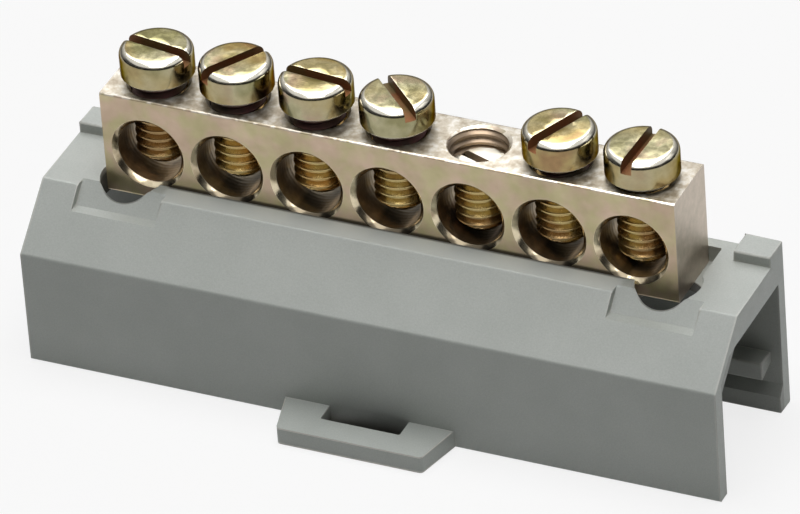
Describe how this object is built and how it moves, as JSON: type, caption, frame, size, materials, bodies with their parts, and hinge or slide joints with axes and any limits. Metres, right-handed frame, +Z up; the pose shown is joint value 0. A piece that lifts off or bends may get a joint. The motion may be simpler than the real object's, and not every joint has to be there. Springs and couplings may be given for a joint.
{
  "type": "din rail terminal support",
  "caption": "Moulded channel that clips over a small rail, carrying a cross-drilled terminal bar with slotted clamp screws and a headless set screw, with a pull tab at the front.",
  "frame": {"origin": "on the rail's centre line at the level of the walls' feet, half way along the support", "axes": "+X along the rail, +Y from the pull tab at the front to the back wall, +Z up away from the rail"},
  "size_m": [0.0776, 0.024, 0.0333],
  "materials": {
    "grey_plastic": "fine moulded texture, matte",
    "bar_metal": "pale plated brass, drawn, satin",
    "screw_metal": "yellow passivated zinc plating, glossy"
  },
  "bodies": {
    "carrier": {"support": "grey_plastic", "terminal_bar": "bar_metal"},
    "screw_1": {"clamp_screw_1": "screw_metal"},
    "screw_2": {"clamp_screw_2": "screw_metal"},
    "screw_3": {"clamp_screw_3": "screw_metal"},
    "screw_4": {"clamp_screw_4": "screw_metal"},
    "screw_5": {"set_screw_5": "screw_metal"},
    "screw_6": {"clamp_screw_6": "screw_metal"},
    "screw_7": {"clamp_screw_7": "screw_metal"}
  },
  "joints": [
    {"name": "screw_1_travel", "type": "slide", "parent": "carrier", "child": "screw_1", "axis": [0, 0, 1], "range_m": [-0.0008, 0.00595]},
    {"name": "screw_2_travel", "type": "slide", "parent": "carrier", "child": "screw_2", "axis": [0, 0, 1], "range_m": [-0.0009, 0.00585]},
    {"name": "screw_3_travel", "type": "slide", "parent": "carrier", "child": "screw_3", "axis": [0, 0, 1], "range_m": [-0.0009, 0.00585]},
    {"name": "screw_4_travel", "type": "slide", "parent": "carrier", "child": "screw_4", "axis": [0, 0, 1], "range_m": [-0.0007, 0.00605]},
    {"name": "screw_5_travel", "type": "slide", "parent": "carrier", "child": "screw_5", "axis": [0, 0, 1], "range_m": [-0.0001, 0.00665]},
    {"name": "screw_6_travel", "type": "slide", "parent": "carrier", "child": "screw_6", "axis": [0, 0, 1], "range_m": [-0.00045, 0.0063]},
    {"name": "screw_7_travel", "type": "slide", "parent": "carrier", "child": "screw_7", "axis": [0, 0, 1], "range_m": [-0.00015, 0.0066]}
  ]
}
